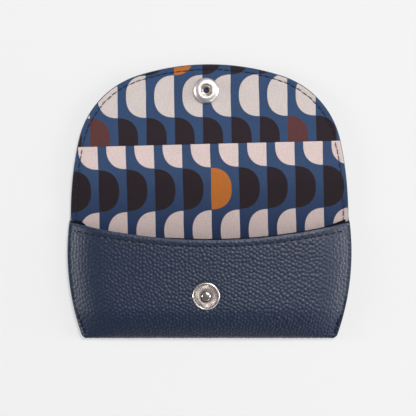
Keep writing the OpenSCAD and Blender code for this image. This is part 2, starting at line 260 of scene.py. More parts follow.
def add_slab(name, outer, inner, row_step, col_step, materials, plane, attributes=(), sharp=50):
    """A closed sheet from its two nets. Materials are those of the outer face, the
    inner face and the rim."""
    faces_out, faces_in, rims = slab_faces(outer.shape[:2], row_step, col_step)
    verts = np.concatenate([outer.reshape(-1, 3), inner.reshape(-1, 3)])
    planes = np.concatenate([plane.reshape(-1, 2), plane[::row_step, ::col_step].reshape(-1, 2)])
    index = [0] * len(faces_out) + [1] * len(faces_in) + [2] * len(rims)
    faces = list(faces_out) + list(faces_in) + rims
    both = []
    for label, values in attributes:
        coarse = values[::row_step, ::col_step]
        both.append((label, np.concatenate([values.ravel(), coarse.ravel()])))
    return add_piece(name, verts, faces, materials, index, planes, both, sharp)


def ring_faces(rings, size, closed):
    """Faces between rings of points that follow each other. The last ring either joins
    the first (closed) or the two ends are capped."""
    faces = []
    for i in range(rings if closed else rings - 1):
        k = (i + 1) % rings
        for j in range(size):
            m = (j + 1) % size
            faces.append([i * size + j, i * size + m, k * size + m, k * size + j])
    if not closed:
        faces.append(list(range(size))[::-1])
        faces.append([(rings - 1) * size + j for j in range(size)])
    return faces


def sweep(path, across, up, profile):
    """Verts and faces of a solid strip: a closed profile (n, z) carried along a path."""
    sections = path[:, None, :] + profile[..., 0:1] * across[:, None, :]
    sections = sections + profile[..., 1:2] * up[:, None, :]
    return sections.reshape(-1, 3), ring_faces(*sections.shape[:2], closed=False)


def join_parts(parts):
    """Several (verts, faces) as one."""
    verts, faces, base = [], [], 0
    for part_verts, part_faces in parts:
        verts.append(part_verts)
        faces.extend([[base + i for i in f] for f in part_faces])
        base += len(part_verts)
    return np.concatenate(verts), faces


def lathe(profile, segments, ripple=None):
    """Verts and faces of a turned solid about the Z axis. Profile points are
    (radius, height); ripple(radius, angle, height) adds to the height."""
    angles = np.linspace(0, 2 * math.pi, segments, endpoint=False)
    radius, height = np.asarray(profile, float).T
    size = len(radius)
    rr, aa = np.meshgrid(radius, angles)
    zz = np.tile(height, (segments, 1))
    if ripple is not None:
        zz = zz + ripple(rr, aa, zz)
    verts = np.stack([rr * np.cos(aa), rr * np.sin(aa), zz], -1).reshape(-1, 3)
    return merge_axis(verts, ring_faces(segments, size, closed=True), size)


def merge_axis(verts, faces, size):
    """Joins the points of a turned solid that lie together on its axis."""
    index = np.arange(len(verts))
    on_axis = np.hypot(verts[:, 0], verts[:, 1]) < 1e-6
    used, target = np.unique(np.where(on_axis, index % size, index), return_inverse=True)
    merged = [list(dict.fromkeys(target[face].tolist())) for face in faces]
    return verts[used], [face for face in merged if len(face) > 2]


def smooth_profile(points, each):
    """A line of points rounded into a denser one (Catmull-Rom)."""
    p = np.asarray(points, float)
    padded = np.concatenate([p[:1], p, p[-1:]])
    out = []
    for i in range(len(p) - 1):
        p0, p1, p2, p3 = padded[i:i + 4]
        for t in np.linspace(0, 1, each, endpoint=False):
            out.append(0.5 * (2 * p1 + (p2 - p0) * t + (2 * p0 - 5 * p1 + 4 * p2 - p3) * t * t
                              + (3 * p1 - p0 - 3 * p2 + p3) * t ** 3))
    out.append(p[-1])
    return np.array(out)


# ---- leather grain ---------------------------------------------------------
PEBBLE = 1.7  # distance between pebbles
PEBBLE_ROW = 0.87 * PEBBLE
PEBBLE_JITTER = 0.66  # of the distance
GRAIN_DEPTH = 0.255
TABLE_SIZE = 128
GRAIN_TABLE = np.random.default_rng(7).random((TABLE_SIZE, TABLE_SIZE, 3))


def wander(u, v, rate):
    """Slow unevenness, about -1 to 1."""
    swing = np.sin(rate * u + 1.3 * np.sin(0.45 * rate * v))
    return (swing + np.sin(0.77 * rate * v + 1.7 * np.sin(0.3 * u))) / 2


def pebbles(u, v):
    """Height 0 to 1 of a pebbled grain at unrolled places (u, v) in millimetres. The
    pebbles stand in jittered columns, each half a pebble out of step with the next."""
    u, v = v + 0.12 * wander(v + 40, u, 0.8), u + 0.12 * wander(u, v, 0.9)
    j0 = np.floor(v / PEBBLE_ROW).astype(int)
    best = np.full(u.shape, 1e9)
    second = np.full(u.shape, 1e9)
    own = np.zeros(u.shape)
    for dj in (-2, -1, 0, 1, 2):
        j = j0 + dj
        shift = 0.5 * (j % 2)
        i0 = np.floor(u / PEBBLE - shift).astype(int)
        for di in (-2, -1, 0, 1, 2):
            i = i0 + di
            jitter = GRAIN_TABLE[j % TABLE_SIZE, i % TABLE_SIZE]
            cx = (i + 0.5 + shift + (jitter[..., 0] - 0.5) * PEBBLE_JITTER) * PEBBLE
            cy = (j + 0.5 + (jitter[..., 1] - 0.5) * PEBBLE_JITTER) * PEBBLE_ROW
            d = np.hypot(u - cx, v - cy)
            nearer = d < best
            second = np.where(nearer, best, np.minimum(second, d))
            own = np.where(nearer, jitter[..., 2], own)
            best = np.where(nearer, d, best)
    border = np.clip((second - best) / (0.62 * PEBBLE), 0, 1)
    crown = 1 - np.clip(best / (0.85 * PEBBLE), 0, 1) ** 2
    height = (1 - (1 - border) ** 2.2) * (0.45 + 0.55 * crown)
    return height * (0.72 + 0.28 * own)


# ---- domed front -----------------------------------------------------------
FOLD_R = LEATHER_T
ROLL_W = 19.0  # from the seam to the top of the dome
ROLL_POWER, TOE_POWER = 3.2, 3.0
CROWN_DROP, CROWN_FLAT, CROWN_REACH = 3.1, 6, 50  # the dome falls away from the stud
MOUTH_RISE = 0.35


def mouth_y(u):
    """Height of the curved mouth; u runs from -1 to 1 across the front."""
    return MOUTH_SIDE_Y - MOUTH_DIP * (1 - u * u)


def seam_margin(y):
    """Flat strip beside the roll: wide at the bottom corners, almost hidden above."""
    return 0.25 + 1.15 * (1 - smoothstep((y - 3) / 9))


def rounded(t, power):
    """Rise from 0 to 1 that ends flat; a higher power turns over sooner."""
    return 1 - (1 - np.clip(t, 0, 1)) ** power


def bulge(x, y, side):
    """Height of the front above its seams; side is the distance from the seam's edge."""
    margin = seam_margin(y)
    start = np.clip(side - margin, 0, None)
    eased = start * start / (start + 0.8)
    across = rounded(eased / ROLL_W, ROLL_POWER)
    along = rounded(y / TOE_W, TOE_POWER)
    away = np.hypot(x - SNAP_X, (y - STUD_Y) * 0.7)
    crown = CROWN_DROP * (np.clip(away - CROWN_FLAT, 0, None) / CROWN_REACH) ** 1.8
    mouth_rise = MOUTH_RISE * smoothstep((y - STUD_Y - 7) / 20)
    return (SEAT_Z - 2 * LEATHER_T - crown + mouth_rise) * across * along


def front_point(u, v):
    """Smooth outer surface of the front at net coordinates, v counted in heights."""
    w = half_width(v) - EDGE_REVEAL
    y = mouth_y(u) * v / MOUTH_SIDE_Y
    x = u * w
    z = 2 * LEATHER_T + bulge(x, y, (1 - np.abs(u)) * w)
    return np.stack([x, y, z], -1)


def front_at(x, y):
    """The point of the front's surface above (x, y)."""
    v = np.array(y, float)
    for _ in range(6):
        u = x / (half_width(v) - EDGE_REVEAL)
        v = y * MOUTH_SIDE_Y / mouth_y(u)
    return front_point(u, v)


def normals_of(net, row):
    """Unit normals of a net, turned so that they point up in the middle of a row."""
    n = np.cross(np.gradient(net, axis=1), np.gradient(net, axis=0))
    n /= np.maximum(np.linalg.norm(n, axis=-1, keepdims=True), 1e-9)
    return -n if n[row, net.shape[1] // 2, 2] < 0 else n


# ---- stitches --------------------------------------------------------------
EDGE_L = sum((radius - STITCH_INSET) * (a1 - a0) for _, radius, a0, a1 in UPPER_ARCS)
SEWING = np.random.default_rng(11).normal(0, 1, (2, 80, 2))
SEWING_SLIP = (0.07, 0.04)  # millimetres aside and radians of turn
MOUTH_STITCH_INSET = 2.7
DIP_REACH = 3.2  # a stitch pulls the surface down no further away than this


def edge_at(s):
    """Place on the right-hand stitch line a length s up it, and the normal's angle."""
    if s < 0:
        return SIDE_C[0] + SIDE_R - STITCH_INSET, SHOULDER_Y + s, 0.0
    for centre, radius, start, end in UPPER_ARCS:
        radius -= STITCH_INSET
        angle = start + s / radius
        if angle < end:
            break
        s -= radius * (end - start)
    return centre[0] + radius * math.cos(angle), centre[1] + radius * math.sin(angle), angle


def edge_stitches(y0, y1):
    """(x, y, direction) of the edge stitches between two heights, both sides."""
    found = []
    for i in range(int((EDGE_L + 6) / STITCH_PITCH)):
        x, y, angle = edge_at(EDGE_L - (i + 0.5) * STITCH_PITCH)
        reach = STITCH_L / 2 * abs(math.cos(angle))
        if y - reach > y0 + 0.2 and y + reach < y1 - 0.2:
            for k, side in enumerate((1, -1)):
                aside, turn = SEWING[k, i] * SEWING_SLIP
                along = math.pi / 2 + side * angle + turn
                found.append((side * (x + aside * math.cos(angle)), y + aside * math.sin(angle), along))
    return found


def seam_stitches(side):
    """(x, y, direction) of the stitches along one side of the pouch."""
    found = []
    y = 3.4
    while y < MOUTH_SIDE_Y - 2:
        w = float(half_width(y)) - EDGE_REVEAL
        lean = math.asin(np.clip((y - WIDEST_Y) / LOW_R, -1, 1))
        inset = 0.35 + 0.6 * float(seam_margin(y))
        found.append((side * (w - inset), y, math.pi / 2 + side * lean))
        y += STITCH_PITCH
    return found


def mouth_stitches():
    """(x, y, direction) of the stitches below the mouth."""
    found = []
    count = int((POUCH_W / 2 - 4.0) / STITCH_PITCH)
    for i in range(-count, count + 1):
        x = i * STITCH_PITCH
        u = 2 * x / POUCH_W
        lean = math.atan(4 * MOUTH_DIP * u / POUCH_W)
        found.append((x, float(mouth_y(u)) - MOUTH_STITCH_INSET, lean))
    return found


def stitch_dip(x, y, stitches, line, hole):
    """How far a surface is drawn down along a row of stitches and at their holes."""
    dip = np.zeros(x.shape)
    for cx, cy, angle in stitches:
        tx, ty = math.cos(angle), math.sin(angle)
        near = np.maximum(np.abs(x - cx), np.abs(y - cy)) < DIP_REACH
        if not near.any():
            continue
        dx, dy = x[near] - cx, y[near] - cy
        along, across = dx * tx + dy * ty, -dx * ty + dy * tx
        past = np.clip(np.abs(along) - STITCH_PITCH / 2, 0, None)
        groove = line * bell(across / 0.55) * bell(past / 0.4)
        ends = hole * bell(np.hypot(np.abs(along) - STITCH_PITCH / 2, across) / 0.5)
        dip[near] = np.maximum(dip[near], np.maximum(groove, ends))
    return dip


def stitch_mesh(centre, tangent, up, length=2.8, radius=0.19, rise=0.10, sink=0.20):
    """One stitch: a short length of twisted thread that dives in at both ends."""
    rings, sides, twist = 13, 8, 3.4
    t = np.linspace(-1, 1, rings)
    side = np.cross(up, tangent)
    heights = rise * (1 - t ** 2) - sink * np.abs(t) ** 5
    path = centre + np.outer(t * length / 2, tangent) + np.outer(heights, up)
    angles = np.linspace(0, 2 * math.pi, sides, endpoint=False)
    verts = []
    for k in range(rings):
        strand = 1 + 0.13 * np.cos(2 * (angles - t[k] * twist))
        r = radius * (1 - 0.45 * abs(t[k]) ** 4) * strand
        verts.append(path[k] + np.outer(r * np.cos(angles), side) + np.outer(r * np.sin(angles), up))
    return np.concatenate(verts), ring_faces(rings, sides, closed=False)


def flat_stitches(stitches, z, up=1.0):
    """Stitches on the flat layers, above (up 1) or on the outside (up -1) of them."""
    parts = []
    for x, y, angle in stitches:
        slope = float(lift(y + 0.5)) - float(lift(y - 0.5))
        tangent = unit([math.cos(angle), math.sin(angle), slope * math.sin(angle)])
        normal = unit([0, -slope, 1]) * up
        parts.append(stitch_mesh(np.array([x, y, z + float(lift(y))]), tangent, normal))
    return parts


def front_stitches(stitches, sunk, deeper=0.0, **shape):
    """Stitches over the front. Along the side seams they sink away above the corners."""
    parts = []
    for x, y, angle in stitches:
        step = 0.3
        tx, ty = math.cos(angle) * step, math.sin(angle) * step
        here = front_at(x, y)
        ahead = front_at(x + tx, y + ty)
        behind = front_at(x - tx, y - ty)
        left = front_at(x - ty, y + tx)
        right = front_at(x + ty, y - tx)
        tangent = unit(ahead - behind)
        normal = unit(np.cross(ahead - behind, left - right))
        depth = sunk + deeper * float(smoothstep((y - 7) / 6))
        parts.append(stitch_mesh(here - normal * depth, tangent, normal, **shape))
    return parts


# ---- materials -------------------------------------------------------------
def node(tree, kind, inputs=None, **settings):
    """A new node. Values among its inputs are linked, plain numbers are set."""
    made = tree.nodes.new(kind)
    for key, value in settings.items():
        setattr(made, key, value)
    for key, value in (inputs or {}).items():
        if isinstance(value, Value):
            tree.links.new(value.socket, made.inputs[key])
        else:
            made.inputs[key].default_value = value
    return made


class Value:
    """A number, place or colour that a shader works out, with the usual signs for sums."""

    def __init__(self, tree, socket):
        self.tree, self.socket = tree, socket

    def through(self, kind, inputs, output=0, **settings):
        """What a new node makes of its inputs, which are named or in order."""
        if isinstance(inputs, list):
            inputs = dict(enumerate(inputs))
        return Value(self.tree, node(self.tree, kind, inputs, **settings).outputs[output])

    def calc(self, operation, *others):
        return self.through("ShaderNodeMath", [self, *others], operation=operation)

    def __add__(self, other):
        return self.calc("ADD", other)

    def __sub__(self, other):
        return self.calc("SUBTRACT", other)

    def __mul__(self, other):
        return self.calc("MULTIPLY", other)

    def __truediv__(self, other):
        return self.calc("DIVIDE", other)

    def __mod__(self, other):
        return self.calc("FLOORED_MODULO", other)

    def __pow__(self, other):
        return self.calc("POWER", other)

    def is_at(self, other):
        return self.calc("COMPARE", other, 0.1)

    def wave(self, rate):
        return (self * rate).calc("SINE")

    def ramp(self, *ends):
        """From low to high, as a share of 1 or between two outputs."""
        return self.through("ShaderNodeMapRange", [self, *ends], clamp=True)

    def mix(self, a, b):
        """Colour a where this is 0, and b where it is 1."""
        return self.through("ShaderNodeMix", {0: self, 6: a, 7: b}, 2, data_type="RGBA")

    def darkened(self, share):
        inputs = {0: 1.0, 6: self, 7: share}
        return self.through("ShaderNodeMix", inputs, 2, data_type="RGBA", blend_type="MULTIPLY")

    def noise(self, scale, detail, rough=0.5):
        inputs = {"Vector": self, "Scale": scale, "Detail": detail, "Roughness": rough}
        return self.through("ShaderNodeTexNoise", inputs, "Fac")

    def bump(self, distance, strength, **under):
        inputs = {"Height": self, "Distance": distance, "Strength": strength, **under}
        return self.through("ShaderNodeBump", inputs, "Normal")

    def stretched(self, scale):
        return self.through("ShaderNodeMapping", {"Vector": self, "Scale": scale})

    def axes(self):
        """The x, y and z of a place."""
        made = node(self.tree, "ShaderNodeSeparateXYZ", {0: self})
        return [Value(self.tree, socket) for socket in made.outputs]


def given(tree, kind, output, **settings):
    """A value that the mesh or the view gives."""
    return Value(tree, node(tree, kind, **settings).outputs[output])


def painted(place, label):
    """A value that the mesh carries at its points."""
    return given(place.tree, "ShaderNodeAttribute", "Fac", attribute_name=label)


def new_material(name, on_sheet=True):
    """An empty material, and the place on its sheet or object that patterns follow."""
    material = bpy.data.materials.new(name)
    material.use_nodes = True
    tree = material.node_tree
    tree.nodes.clear()
    if on_sheet:
        return material, given(tree, "ShaderNodeUVMap", 0, uv_map=PLANE)
    return material, given(tree, "ShaderNodeTexCoord", "Object")


def surface(material, inputs):
    """The material, once its shader has these inputs."""
    tree = material.node_tree
    shader = node(tree, "ShaderNodeBsdfPrincipled", inputs)
    node(tree, "ShaderNodeOutputMaterial", {0: Value(tree, shader.outputs[0])})
    return material


def srgb(red, green, blue):
    """An 8-bit screen colour as the linear colour that a shader socket takes."""
    def linear(c):
        c /= 255
        return c / 12.92 if c <= 0.04045 else ((c + 0.055) / 1.055) ** 2.4
    return (linear(red), linear(green), linear(blue), 1.0)


def navy_leather():
    """Pebbled navy leather: painted shade darkens the creases, and the pebbles are worn paler."""
    material, place = new_material("navy_leather")
    speckle = place.noise(1.4, 4, 0.6)
    # colour follows the grain's height: painted shade in the creases, paler worn tops on the pebbles
    base = painted(place, "grain").ramp(0.0, 0.6).mix(srgb(7, 16, 33), srgb(17, 32, 57))
    base = place.noise(0.06, 3).ramp(0.35, 0.65, 0, 0.35).mix(base, srgb(14, 30, 58))
    base = speckle.ramp(0.35, 0.75, 0, 0.25).mix(base, srgb(38, 50, 76))
    return surface(material, {
        "Base Color": base, "Roughness": speckle.ramp(0.3, 0.7, 0.40, 0.50),
        "Normal": place.noise(3.2, 3, 0.6).bump(0.00005, 0.6), "Specular IOR Level": 0.5})


def suede():
    """The leather's flesh side, seen only inside the pouch and at cut rims."""
    material, place = new_material("suede")
    nap = place.noise(2.2, 5, 0.7)
    return surface(material, {
        "Base Color": nap.mix(srgb(24, 28, 40), srgb(48, 54, 70)), "Roughness": 0.95,
        "Normal": nap.bump(0.0001, 0.8)})


def edge_paint():
    """Sealed edge: several coats of dark glossy paint, a little uneven."""
    material, place = new_material("edge_paint")
    fine = place.noise(3.0, 3)
    return surface(material, {
        "Base Color": place.noise(0.5, 3).mix(srgb(30, 37, 56), srgb(54, 65, 92)),
        "Roughness": fine.ramp(0.3, 0.7, 0.3, 0.45), "Normal": fine.bump(0.00006, 0.6)})


ROW_PITCH = 17.85
DISC_POWER = 2.35  # 2 would make the half discs round
SOFT_EDGE = (1.025, 0.975)
ACCENT_EVERY = 7.0
WARP_PITCH, WEFT_PITCH = 0.42, 0.46
MOUTH_SHADE_FROM, BLUE_MOUTH_SHADE_TO, MOUTH_SHADE_TO = 42.0, 66.0, 76.0  # heights over which the print is darkened: painted shade of the pouch's mouth


def half_discs(place, turn, period, flat_x, row_y, dark_w, pale_w, half_h, cell_shift):
    """Rows of pale half discs, flat on the right, alternate with rows of dark ones, flat
    on the left. Returns four masks: disc, dark row, accent, and orange rather than rust."""
    inputs = {"Vector": place, "Angle": -turn}
    turned = place.through("ShaderNodeVectorRotate", inputs, rotation_type="Z_AXIS").axes()
    x = turned[0] + (place.noise(0.08, 1) * 0.5 - (0.25 + flat_x))
    y = turned[1] - row_y
    row = (y / ROW_PITCH).calc("ROUND")
    dark = row % 2.0
    run = x * (dark * 2.0 - 1.0) / period
    cell = run.calc("FLOOR")
    along = (run - cell) * period
    up = (y - row * ROW_PITCH).calc("ABSOLUTE")
    width = dark * (dark_w - pale_w) + pale_w
    reach = (along / width) ** DISC_POWER + (up / half_h) ** DISC_POWER
    disc = reach.ramp(*SOFT_EDGE) * along.ramp(0.0, 0.12)
    accent = ((row * 5.0 + 1.0) % ACCENT_EVERY).is_at((cell + cell_shift) % ACCENT_EVERY)
    return disc, dark, accent, (row % 4.0).is_at(1.0)


def printed_cloth(name, layout, tints):
    """Woven lining with a print of half discs on blue, darkened by painted shade towards the pouch's mouth.
    """
    material, place = new_material(name)
    x, y = place.axes()[:2]
    disc, dark, accent, orange = half_discs(place, **layout)
    weave = x.wave(2 * math.pi / WARP_PITCH) * y.wave(2 * math.pi / WEFT_PITCH) * 0.5 + 0.5
    grain = place.noise(1.6, 3, 0.6)
    blot = place.noise(0.12, 2)
    slubs = place.stretched((2.4, 0.22, 1)).noise(1.0, 3, 0.6)
    blue, pale, deep = [blot.mix(*tints[label]) for label in ("blue", "pink", "brown")]
    # painted shade: the blue turns deeper towards the mouth
    blue = y.ramp(MOUTH_SHADE_FROM, BLUE_MOUTH_SHADE_TO).mix(srgb(18, 42, 84), blue)
    colour = disc.mix(blue, dark.mix(pale, accent.mix(deep, orange.mix(*tints["vivid"]))))
    colour = grain.ramp(0.3, 0.7, 0.0, 0.20).mix(colour, srgb(20, 20, 24))
    colour = colour.darkened(slubs.ramp(0.3, 0.7, 0.94, 1.05))
    # painted shade: the whole print darkens towards the mouth
    colour = colour.darkened(y.ramp(MOUTH_SHADE_FROM, MOUTH_SHADE_TO, 0.64, 1.0))
    colour = (weave * 0.10).mix(colour, srgb(12, 12, 16))
    return surface(material, {
        "Base Color": colour, "Roughness": grain.ramp(0.3, 0.7, 0.6, 0.74),
        "Normal": weave.bump(0.00004, 0.6, Normal=grain.bump(0.00005, 0.5)),
        "Specular IOR Level": 0.2, "Sheen Weight": 0.03, "Sheen Roughness": 0.4})


def dark_cloth():
    """Twill lining of the pouch front, near black: where it peeks past the lip it stands in for the shade
    inside the mouth.
    """
    material, place = new_material("dark_cloth")
    x, y = place.axes()[:2]
    twill = (x + y * 1.3).wave(11.0) * 0.5 + 0.5
    base = twill.mix(srgb(8, 9, 13), srgb(17, 18, 25))
    fuzz = place.noise(2.0, 4).ramp(0.3, 0.8, 0, 0.3)
    return surface(material, {
        "Base Color": fuzz.mix(base, srgb(26, 27, 35)), "Roughness": 0.85,
        "Normal": twill.bump(0.00008, 0.7), "Specular IOR Level": 0.1})


def pressed_board():
    """Grey-brown leather board with its fibres lying one way."""
    material, place = new_material("pressed_board")
    fibre = place.stretched((0.4, 3.0, 1)).noise(1.2, 5, 0.7)
    return surface(material, {
        "Base Color": fibre.mix(srgb(110, 104, 94), srgb(160, 152, 138)), "Roughness": 0.9,
        "Normal": fibre.bump(0.0001, 0.5)})


def sewing_thread():
    """Waxed dark thread; the twist shows as paler and darker strands."""
    material, place = new_material("sewing_thread")
    strand = place.noise(5.0, 3, 0.6)
    return surface(material, {
        "Base Color": strand.mix(srgb(11, 13, 21), srgb(33, 38, 53)),
        "Roughness": strand.ramp(0.3, 0.7, 0.5, 0.7), "Specular IOR Level": 0.15,
        "Normal": strand.bump(0.00005, 0.6)})


def worn_metal(name, bright, dull, rough_low, rough_high, scratch=0.5):
    """Plated metal with fine scratches, tarnish that gathers in patches, and painted shade in the hollows
    that a value on the mesh's points marks.
    """
    material, place = new_material(name, on_sheet=False)
    patches = place.noise(900.0, 4, 0.6)
    lines = place.stretched((9000.0, 1100.0, 6000.0)).noise(1.0, 4, 0.7)
    plating = patches.ramp(0.42, 0.72).mix((*bright, 1), (*dull, 1))
    rough = patches.ramp(0.35, 0.75, rough_low, rough_high) + lines.ramp(0.5, 0.8, 0.0, 0.12)
    return surface(material, {
        # painted shade: the metal is darkened where its points are marked as hollows
        "Base Color": painted(place, "recess_shade").mix(plating, srgb(34, 28, 26)), "Roughness": rough,
        "Normal": lines.bump(0.000004, scratch), "Metallic": 1.0})


FLOOR_GLOW = 0.526  # a lit sweep under the holder, as in a product studio


def pale_floor():
    """Matt pale paper."""
    material, place = new_material("pale_floor", on_sheet=False)
    tooth = place.noise(900.0, 2)
    return surface(material, {
        "Base Color": tooth.mix(srgb(145, 145, 145), srgb(147, 147, 147)), "Roughness": 0.9,
        "Specular IOR Level": 0.0, "Emission Color": (1, 1, 1, 1), "Emission Strength": FLOOR_GLOW})


LEATHER = navy_leather()
SUEDE = suede()
EDGE_PAINT = edge_paint()
FLAP_PRINT = printed_cloth(
    "flap_print",
    {"turn": math.radians(0.84), "period": 11.95, "flat_x": -1.45, "row_y": 102.45,
     "dark_w": 8.5, "pale_w": 8.5, "half_h": 8.88, "cell_shift": 0.0},
    {"blue": (srgb(47, 72, 109), srgb(41, 64, 99)), "pink": (srgb(208, 197, 193), srgb(199, 187, 183)),
     "brown": (srgb(36, 21, 28), srgb(28, 16, 23)), "vivid": (srgb(87, 47, 47), srgb(180, 102, 38))})
POCKET_PRINT = printed_cloth(
    "pocket_print",
    {"turn": math.radians(1.3), "period": 11.87, "flat_x": 2.1, "row_y": 45.35,
     "dark_w": 8.65, "pale_w": 8.2, "half_h": 8.75, "cell_shift": 6.0},
    {"blue": (srgb(48, 72, 108), srgb(42, 64, 98)), "pink": (srgb(218, 198, 194), srgb(208, 188, 184)),
     "brown": (srgb(33, 17, 26), srgb(26, 13, 20)), "vivid": (srgb(87, 47, 47), srgb(182, 104, 36))})
DARK_CLOTH = dark_cloth()
BOARD = pressed_board()
THREAD = sewing_thread()
# the stud's three nickels are copies of one plating whose base colours differ: the rim's brightest (painted
# highlight), the post's in between, the dish's darkest (painted shade)
NICKEL = worn_metal("nickel", (0.86, 0.83, 0.82), (0.70, 0.64, 0.61), 0.36, 0.50)
RIM_NICKEL = worn_metal("rim_nickel", (0.90, 0.85, 0.82), (0.70, 0.63, 0.60), 0.24, 0.36)
POST_NICKEL = worn_metal("post_nickel", (0.74, 0.67, 0.64), (0.52, 0.44, 0.41), 0.17, 0.27)
SHADED_NICKEL = worn_metal("shaded_nickel", (0.53, 0.47, 0.45), (0.38, 0.31, 0.28), 0.32, 0.44, 0.3)
BRASS = worn_metal("brass", (0.74, 0.58, 0.44), (0.42, 0.30, 0.22), 0.25, 0.45)


# ---- hide ------------------------------------------------------------------
NET_STEP, HIDE_ROW_STEP = 6, 4  # the inner nets are this much coarser
FRONT_COLS, FRONT_ROWS, TURN_ROWS, BACK_ROWS = 330, 122, 10, 113
CORNER_SEAM_TOP = 16  # the side seams show their grooves below this height
FLAP_SPACING, BAND_SPACING = 0.5, 0.6
PAST_TIP = 200
DOME_Y = 26.0  # height at which the dome's width is unrolled
INNER_GAP = 0.02  # between inner faces that lie against each other
FLAP_HIDE_INSET = 0.05
UNROLLED_FLAP = 300.0  # where the flap lies on the grain's plane, clear of the lower hide


def multiple(count, step=NET_STEP):
    """The next count that a coarser net divides evenly."""
    return int(math.ceil((count - 1) / step) * step) + 1


def even_columns(count):
    """Net coordinates u from -1 to 1 whose columns are evenly spaced over the dome."""
    u = np.linspace(-1, 1, 2401)
    return spread(u, front_point(u, np.full(u.shape, DOME_Y)), count)


def even_front_rows(count):
    """Net coordinates v, from the mouth down, whose rows are evenly spaced."""
    v = np.linspace(FOLD_R, MOUTH_SIDE_Y, 1201)
    return spread(v, front_point(np.zeros(v.shape), v), count)[0][::-1]


# stitches seen from inside; the back's and flap's come through to the outside
MOUTH_STITCHES = mouth_stitches()
SEAM_STITCHES = {-1: seam_stitches(-1), 1: seam_stitches(1)}
LOW_SEAM = edge_stitches(MOUTH_SIDE_Y - 0.5, MID_SPINE_Y)
BACK_SEAM = SEAM_STITCHES[-1] + SEAM_STITCHES[1] + LOW_SEAM
FLAP_SEAM = edge_stitches(MID_SPINE_Y, PAST_TIP)


def front_relief(net, u, grain):
    """Grain, mouth puff, stitch grooves and the stud's seat on the front's surface."""
    x, y = net[..., 0], net[..., 1]
    below_mouth = mouth_y(u) - y
    from_stud = np.hypot(x - SNAP_X, y - STUD_Y)
    relief = GRAIN_DEPTH * (grain - 0.75)
    # pressed flat at the mouth and by the stud, coarse below, smoother left and over the sides
    relief *= 0.6 + 0.4 * smoothstep((below_mouth - 0.3) / 5.0)
    relief *= 1.7 - 0.7 * smoothstep((y - 5) / 10)
    relief *= 0.80 + 0.20 * smoothstep((x + 52) / 40)
    relief *= 1.0 - 0.25 * smoothstep((np.abs(x) - 44) / 8)
    relief *= smoothstep((from_stud - 5.3) / 0.8)
    # a groove round the stud, a puff below the mouth and the lip's rounded edge
    relief -= 0.12 * bell((from_stud - 5.9) / 0.5)
    relief += 0.06 * bell((below_mouth - 1.1) / 0.8)
    relief -= 0.22 * bell(below_mouth / 0.45)
    relief -= stitch_dip(x, y, MOUTH_STITCHES, 0.06, 0.18)
    for stitches in SEAM_STITCHES.values():
        low = [s for s in stitches if s[1] < CORNER_SEAM_TOP]
        relief -= stitch_dip(x, y, low, 0.16, 0.22)
    return relief


def bottom_fold(u, turn):
    """Net round the bottom fold; turn is the angle, from pi at the front to 0 at the back."""
    uu, angle = np.meshgrid(u, turn)
    y = FOLD_R - FOLD_R * np.sin(angle)
    z = FOLD_R - FOLD_R * np.cos(angle)
    w = half_width(y) - EDGE_REVEAL * smoothstep((z - 0.6) / 1.6)
    swell = np.where(angle > math.pi / 2, bulge(uu * w, y, (1 - np.abs(uu)) * w), 0)
    return np.stack([uu * w, y, z + swell], -1)


def press_inside(inner, row, turn):
    """Lets the inner faces lie against each other near the folded bottom."""
    on_front, on_back = row < FRONT_ROWS, row >= FRONT_ROWS + TURN_ROWS
    on_turn = ~(on_front | on_back)
    angle = turn[row[on_turn] - FRONT_ROWS][:, None]
    inner[on_front, :, 1] = np.maximum(inner[on_front, :, 1], FOLD_R)
    inner[on_front, :, 2] = np.maximum(inner[on_front, :, 2], FOLD_R + INNER_GAP)
    inner[on_back, :, 2] = LEATHER_T + lift(inner[on_back, :, 1])
    inner[on_turn, :, 1] = FOLD_R - INNER_GAP * np.sin(angle)
    inner[on_turn, :, 2] = FOLD_R - INNER_GAP * np.cos(angle)


def hide_lower():
    """Front, bottom fold, back and half the spine, as one closed skin."""
    cols = multiple(FRONT_COLS)
    u, across_l = even_columns(cols)
    front_v = even_front_rows(FRONT_ROWS)
    turn = np.linspace(math.pi, 0, TURN_ROWS + 2)[1:-1]
    back_y = np.linspace(FOLD_R, MID_SPINE_Y, BACK_ROWS)
    front = front_point(*np.meshgrid(u, front_v))
    bu, by = np.meshgrid(u, back_y)
    back = np.stack([bu * half_width(by), by, lift(by)], -1)
    net = np.concatenate([front, bottom_fold(u, turn), back])

    # unrolled coordinates, counted from the middle and from the bottom fold
    along = lengths_along(net[:, cols // 2])
    across = np.linspace(-across_l / 2, across_l / 2, cols)
    plane = np.stack(np.meshgrid(across, along - along[FRONT_ROWS]), -1)
    grain = pebbles(plane[..., 0], plane[..., 1])

    turn_end = FRONT_ROWS + TURN_ROWS
    relief = GRAIN_DEPTH * (grain - 1)
    relief[:FRONT_ROWS] = front_relief(front, u, grain[:FRONT_ROWS])
    fade = np.linspace(0.75, 1, TURN_ROWS)[:, None]
    relief[FRONT_ROWS:turn_end] = GRAIN_DEPTH * (grain[FRONT_ROWS:turn_end] - fade)
    relief[turn_end:] -= stitch_dip(back[..., 0], back[..., 1], BACK_SEAM, 0.15, 0.25)
    relief *= smoothstep((1 - np.abs(u)) / 0.006)
    normals = normals_of(net, 10)
    outer = net + normals * relief[..., None]
    inner = (net - normals * (LEATHER_T - INNER_GAP))[::HIDE_ROW_STEP, ::NET_STEP]
    press_inside(inner, np.arange(len(net))[::HIDE_ROW_STEP], turn)
    return add_slab("hide_lower", outer, inner, HIDE_ROW_STEP, NET_STEP,
                    [LEATHER, SUEDE, EDGE_PAINT], plane, [("grain", grain)])


